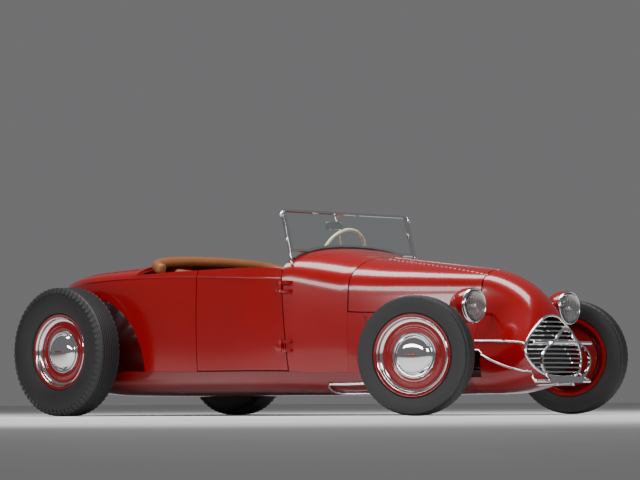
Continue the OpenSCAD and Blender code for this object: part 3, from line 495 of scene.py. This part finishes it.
def addHeadlights():
    for side, s in sides.items():
        stand = Matrix.Translation(place(lampLook["x"], s * lampLook["y"], lampLook["z"])) @ \
            Matrix.Rotation(math.radians(90), 4, "Y")
        r = lampLook["lens"]
        rim = spun([(r - 0.003, 0.0015), (r - 0.003, 0.006), (r + 0.001, 0.0095), (r + 0.0045, 0.0085),
                    (r + 0.0072, 0.004), (r + 0.0098, -0.001), (r + 0.0100, -0.006), (r + 0.0085, -0.007)], 96)
        bmesh.ops.transform(rim, matrix=stand, verts=rim.verts)
        addPiece("lamp_rim_" + side, rim, chrome, "root", 60)
        bowl = spun([(0, 0.0008), (0.02, 0.0011), (0.045, 0.0022), (0.066, 0.0042), (r - 0.002, 0.0072)], 96)
        bmesh.ops.transform(bowl, matrix=stand, verts=bowl.verts)
        addPiece("lamp_reflector_" + side, bowl, chrome, "root", 60)
        lens = spun([(0, lampLook["dome"] + 0.006), (0.02, lampLook["dome"] + 0.0055),
                     (0.045, lampLook["dome"] + 0.002), (0.066, lampLook["dome"] - 0.003),
                     (r - 0.004, 0.0095), (r - 0.003, 0.0062), (0.066, 0.0108), (0.045, 0.0155),
                     (0.02, 0.0190), (0, 0.0195)], 96)
        bmesh.ops.transform(lens, matrix=stand, verts=lens.verts)
        addPiece("lamp_lens_" + side, lens, lensGlass, "root", 60)
        bulb = bmesh.new()
        bmesh.ops.create_uvsphere(bulb, u_segments=24, v_segments=16, radius=0.011)
        bmesh.ops.transform(bulb, matrix=stand @ Matrix.Translation((0, 0, 0.006)) @
                            Matrix.Diagonal((1, 1, 0.5, 1)), verts=bulb.verts)
        addPiece("lamp_shield_" + side, bulb, chrome, "root", 60)


addHeadlights()

# grille and nose details
noseLook = {"shadeDisc": (0.205, 0.150), "slope": 0.235}


# painted shade: a satin-black disc behind the grille stands for the dark inside of the nose
def addGrilleShadeDisc():
    back = bmesh.new()
    bmesh.ops.create_circle(back, cap_ends=True, segments=48, radius=1)
    tilt = -math.atan(noseLook["slope"])
    stand = Matrix.Translation(place(3018, 0, 362)) @ Matrix.Rotation(tilt, 4, "Y") @ \
        Matrix.Rotation(math.radians(90), 4, "Y") @ Matrix.Diagonal((noseLook["shadeDisc"][1],
                                                                    noseLook["shadeDisc"][0], 1, 1))
    bmesh.ops.transform(back, matrix=stand, verts=back.verts)
    bmesh.ops.solidify(back, geom=back.faces, thickness=0.002)
    addPiece("grille_shade_disc", back, satinBlack, "root", 30)


addGrilleShadeDisc()

sideLook = {"vents": [(2030, 545), (2030, 522)], "knob": (2034, 478), "ventRadius": 0.006}


def addSideDots():
    for side, s in sides.items():
        tree = surfaceOf("hood_side_" + side)
        ventShades, knob = bmesh.new(), bmesh.new()
        # painted shade: a satin-black dot at each vent stands for the dark hole
        for x, z in sideLook["vents"]:
            spot = fromSide(tree, s, x, z)
            bmesh.ops.create_uvsphere(ventShades, u_segments=20, v_segments=12, radius=sideLook["ventRadius"],
                                      matrix=Matrix.Translation(spot))
        spot = fromSide(tree, s, *sideLook["knob"])
        bmesh.ops.create_uvsphere(knob, u_segments=24, v_segments=16, radius=0.0095,
                                  matrix=Matrix.Translation(spot + Vector((0, s * 0.003, 0))))
        addPiece("side_vent_shade_" + side, ventShades, satinBlack, "root", 60)
        addPiece("hood_catch_" + side, knob, chrome, "root", 60)


addSideDots()
print("lamps and nose details finished")

# leather seat and roll
seatLook = {"swell": 0.012, "voxel": 0.006, "pleats": 9, "pleatDepth": 0.006}


# lets cloth pressure fill a pad, then keeps every point near its start
def puff(piece, limit):
    cloth = piece.modifiers.new("fill", "CLOTH")
    cloth.settings.use_pressure = True
    cloth.settings.uniform_pressure_force = 4
    cloth.settings.effector_weights.gravity = 0
    scene = bpy.context.scene
    for k in range(1, 21):
        scene.frame_set(k)
    swollen = piece.evaluated_get(bpy.context.evaluated_depsgraph_get()).data
    for v, soft in zip(piece.data.vertices, swollen.vertices):
        move = soft.co - v.co
        v.co = v.co + move * min(1, limit / max(move.length, 1e-6))
    piece.modifiers.remove(cloth)
    scene.frame_set(1)


# a crowned leather pad with sewn channels, inside the room its CAD block takes
def addPad(name, node, shrink, rounding, pleatAxis):
    low, high = (Vector(p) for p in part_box(node))
    middle, size = (low + high) / 2, high - low
    bm = bmesh.new()
    bm.from_mesh(nodes[node].data)
    bmesh.ops.remove_doubles(bm, verts=bm.verts, dist=0.0001)
    bmesh.ops.dissolve_limit(bm, angle_limit=0.02, verts=bm.verts, edges=bm.edges)
    bmesh.ops.scale(bm, vec=tuple((d - 2 * shrink) / d for d in size), space=Matrix.Translation(-middle),
                    verts=bm.verts)
    bmesh.ops.bevel(bm, geom=bm.edges, offset=rounding, affect="EDGES", segments=5, profile=0.5, material=-1)
    bmesh.ops.triangulate(bm, faces=bm.faces)
    pad = addPiece(name, bm, leather, "root", 180)
    remesh = pad.modifiers.new("even", "REMESH")
    remesh.mode = "VOXEL"
    remesh.voxel_size = seatLook["voxel"] * 2
    remesh.use_smooth_shade = True
    even = bpy.data.meshes.new_from_object(pad.evaluated_get(bpy.context.evaluated_depsgraph_get()))
    pad.modifiers.clear()
    pad.data = even
    puff(pad, seatLook["swell"])
    width = size.y - 2 * shrink
    for v in pad.data.vertices:
        lane = (v.co.y - middle.y) / width * seatLook["pleats"]
        near = abs(lane - round(lane))
        inside = abs(v.co.y - middle.y) < width * 0.47
        if inside and v.normal[pleatAxis] > 0.55:
            v.co[pleatAxis] -= seatLook["pleatDepth"] * math.exp(-(near / 0.09) ** 2)
    soft = pad.modifiers.new("soft", "SUBSURF")
    soft.levels = soft.render_levels = 1
    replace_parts(pad, node)


addPad("leather_cushion", "seat_cushion", 0.008, 0.035, 2)
addPad("leather_backrest", "seat_back", 0.008, 0.03, 0)


def addRoll():
    bm = bmesh.new()
    bm.from_mesh(nodes["padded_roll"].data)
    bmesh.ops.remove_doubles(bm, verts=bm.verts, dist=0.0001)
    roll = addPiece("leather_roll", bm, leather, "root", 180)
    soft = roll.modifiers.new("soft", "SUBSURF")
    soft.levels = soft.render_levels = 2
    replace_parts(roll, "padded_roll")


addRoll()

# windshield and mirror details
screenLook = {"lean": 15, "foot": (1616, 0, 925), "height": 236, "halfWidth": 523}


# a place on the leaning windshield: ahead, across and up its plane, in millimetres
def onScreen(x, y, z):
    lean = math.radians(screenLook["lean"])
    fx, fy, fz = screenLook["foot"]
    return place(fx + x * math.cos(lean) - z * math.sin(lean), fy + y,
                 fz + z * math.cos(lean) + x * math.sin(lean))


def addScreenDetails():
    cowl = surfaceOf("cowl", "deck_surround")
    low = [onScreen(0, y, -20) for y in range(-500, 501, 25)]
    seal = []
    for q in low:
        spot, _, _, _ = cowl.ray_cast(q + Vector((0, 0, 0.2)), Vector((0, 0, -1)))
        if spot is not None:
            seal.append(spot + Vector((0, 0, 0.002)))
    bead("windshield_seal", seal, 0.0075, trimRubber, "root")
    for side, s in sides.items():
        bolts = bmesh.new()
        for z in (screenLook["height"] - 30, 60):
            spot = onScreen(0, s * (screenLook["halfWidth"] + (24 if z > 100 else 12)), z)
            made = bmesh.ops.create_uvsphere(bolts, u_segments=24, v_segments=12, radius=0.0085)
            bmesh.ops.transform(bolts, matrix=Matrix.Translation(spot), verts=made["verts"])
        addPiece("post_bolts_" + side, bolts, chrome, "root", 60)
    glass = bmesh.new()
    face = onScreen(-51.5, -70, screenLook["height"] - 66)
    bmesh.ops.create_cube(glass, size=1, matrix=Matrix.Translation(face) @ Matrix.Rotation(
        math.radians(-screenLook["lean"]), 4, "Y") @ Matrix.Diagonal((0.002, 0.13, 0.037, 1)))
    addPiece("mirror_face", glass, brushed, "root", 30)


addScreenDetails()

# dashboard dials and tail lenses
dialLook = {"places": [(-130, 742, 42), (-30, 752, 30), (48, 752, 30), (130, 742, 42)]}


def addDials():
    wall = surfaceOf("dashboard")
    rims, faces = bmesh.new(), bmesh.new()
    for y, z, r in dialLook["places"]:
        spot, _, _, _ = wall.ray_cast(place(1200, y, z), Vector((1, 0, 0)))
        if spot is None:
            continue
        turn = Matrix.Translation(spot) @ Matrix.Rotation(math.radians(-90), 4, "Y")
        ring = spun([(r / 1000, 0), (r / 1000 + 0.004, 0.001), (r / 1000 + 0.005, 0.006),
                     (r / 1000 + 0.001, 0.009), (r / 1000 - 0.003, 0.006), (r / 1000 - 0.003, 0.002)], 48)
        bmesh.ops.transform(ring, matrix=turn, verts=ring.verts)
        holder = bpy.data.meshes.new("ring")
        ring.to_mesh(holder)
        ring.free()
        rims.from_mesh(holder)
        bmesh.ops.create_circle(faces, cap_ends=True, segments=40, radius=r / 1000,
                                matrix=turn @ Matrix.Translation((0, 0, 0.002)))
    addPiece("dial_rims", rims, chrome, "root", 60)
    addPiece("dial_faces", faces, ivory, "root", 60)


addDials()


def addTailLenses():
    for side, s in sides.items():
        outer = [v.co for v in nodes["tail_lamps"].data.vertices if v.co.y * s > 0]
        hub = sum(outer, Vector()) / len(outer)
        spot, normal, _, _ = surfaceOf("quarter_" + side).find_nearest(hub)
        stand = Matrix.Translation(spot) @ normal.to_track_quat("Z", "Y").to_matrix().to_4x4()
        reach = max((v - spot).dot(normal) for v in outer)
        dome = spun([(0.0365, reach - 0.002), (0.0368, reach + 0.002), (0.031, reach + 0.0075),
                     (0.019, reach + 0.0115), (0.0, reach + 0.013)], 48)
        bmesh.ops.transform(dome, matrix=stand, verts=dome.verts)
        addPiece("tail_lens_" + side, dome, lampRed, "root", 60)


addTailLenses()
print("seat, windshield, dials and tail finished")

# camera, floor and light
view = {"place": (12.5083, -13.6222, 0.0859), "yaw": 42.455, "pitch": 2.851, "roll": -0.0057, "lens": 180.95}


def addCamera():
    a, e, roll = math.radians(view["yaw"]), math.radians(view["pitch"]), view["roll"]
    ahead = Vector((-math.sin(a) * math.cos(e), math.cos(a) * math.cos(e), math.sin(e)))
    right = Vector((math.cos(a), math.sin(a), 0))
    up = right.cross(ahead)
    c, s = math.cos(roll), math.sin(roll)
    right2, up2 = c * right + s * up, c * up - s * right
    data = bpy.data.cameras.new("camera")
    data.lens = view["lens"]
    data.sensor_width = 36
    camera = bpy.data.objects.new("camera", data)
    camera.matrix_world = Matrix.Translation(view["place"]) @ \
        Matrix((right2, up2, -ahead)).transposed().to_4x4()
    bpy.context.scene.collection.objects.link(camera)
    bpy.context.scene.camera = camera


def addSoftbox(name, where, aim, size, power, colour=(1, 1, 1)):
    data = bpy.data.lights.new(name, "AREA")
    data.shape = "RECTANGLE"
    data.size, data.size_y = size
    data.energy = power
    data.color = colour
    light = bpy.data.objects.new(name, data)
    light.location = where
    light.rotation_euler = (Vector(aim) - Vector(where)).to_track_quat("-Z", "Y").to_euler()
    bpy.context.scene.collection.objects.link(light)


def addStage():
    floor = bmesh.new()
    bmesh.ops.create_grid(floor, x_segments=1, y_segments=1, size=40)
    mesh = bpy.data.meshes.new("floor")
    floor.to_mesh(mesh)
    floor.free()
    mesh.materials.append(finish("paleFloor", (0.72, 0.72, 0.72), (0.76, 0.76, 0.76), 60, (0.55, 0.7), 0.0001))
    plane = bpy.data.objects.new("floor", mesh)
    bpy.context.scene.collection.objects.link(plane)
    world = bpy.data.worlds.new("studio")
    world.use_nodes = True
    world.node_tree.nodes["Background"].inputs["Color"].default_value = (0.82, 0.82, 0.84, 1)
    world.node_tree.nodes["Background"].inputs["Strength"].default_value = 0.2
    bpy.context.scene.world = world
    addSoftbox("overheadSoftbox", (0.4, -0.6, 4.2), (0.2, 0, 0.4), (5.5, 1.5), 300)
    addSoftbox("nearSoftbox", (1.5, -6.5, 2.6), (0.3, 0, 0.4), (6.5, 0.9), 200)
    addSoftbox("frontSoftbox", (6.5, -2.0, 2.4), (0.8, 0, 0.4), (2.2, 1.2), 90)


addCamera()
addStage()
print("camera and studio set")
